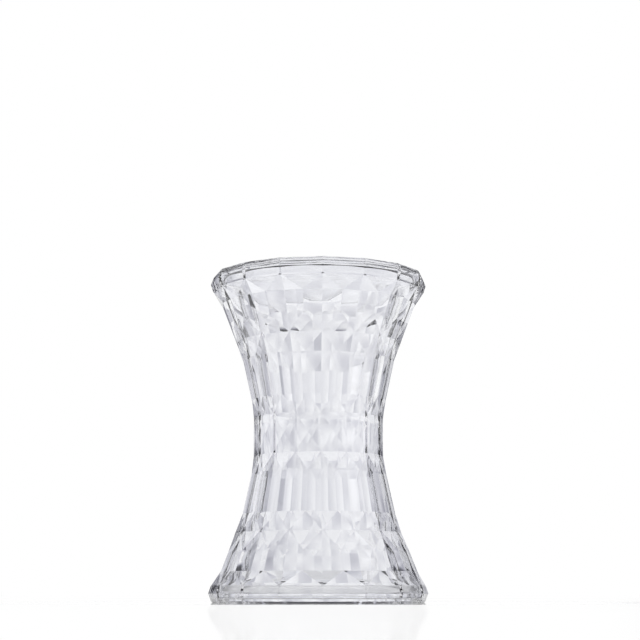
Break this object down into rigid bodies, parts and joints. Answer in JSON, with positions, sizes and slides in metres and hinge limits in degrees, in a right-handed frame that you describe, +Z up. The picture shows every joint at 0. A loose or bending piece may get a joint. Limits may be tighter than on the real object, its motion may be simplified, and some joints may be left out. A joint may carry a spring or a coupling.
{
  "type": "clear faceted stool",
  "caption": "Clear polycarbonate hourglass stool with a crystal-cut hollow shell, a flat seat plate and an open foot ring.",
  "frame": {"origin": "on the floor at the centre of the foot ring", "axes": "+Z up along the stool's axis of symmetry, -Y towards the pictured front, where a corner of the rim points"},
  "size_m": [0.3, 0.3, 0.45],
  "materials": {
    "seat": "clear, high gloss",
    "body_shell": "clear, high gloss",
    "foot_ring": "clear, high gloss"
  },
  "bodies": {
    "root": {"seat": "seat", "body_shell": "body_shell", "foot_ring": "foot_ring"}
  },
  "joints": []
}
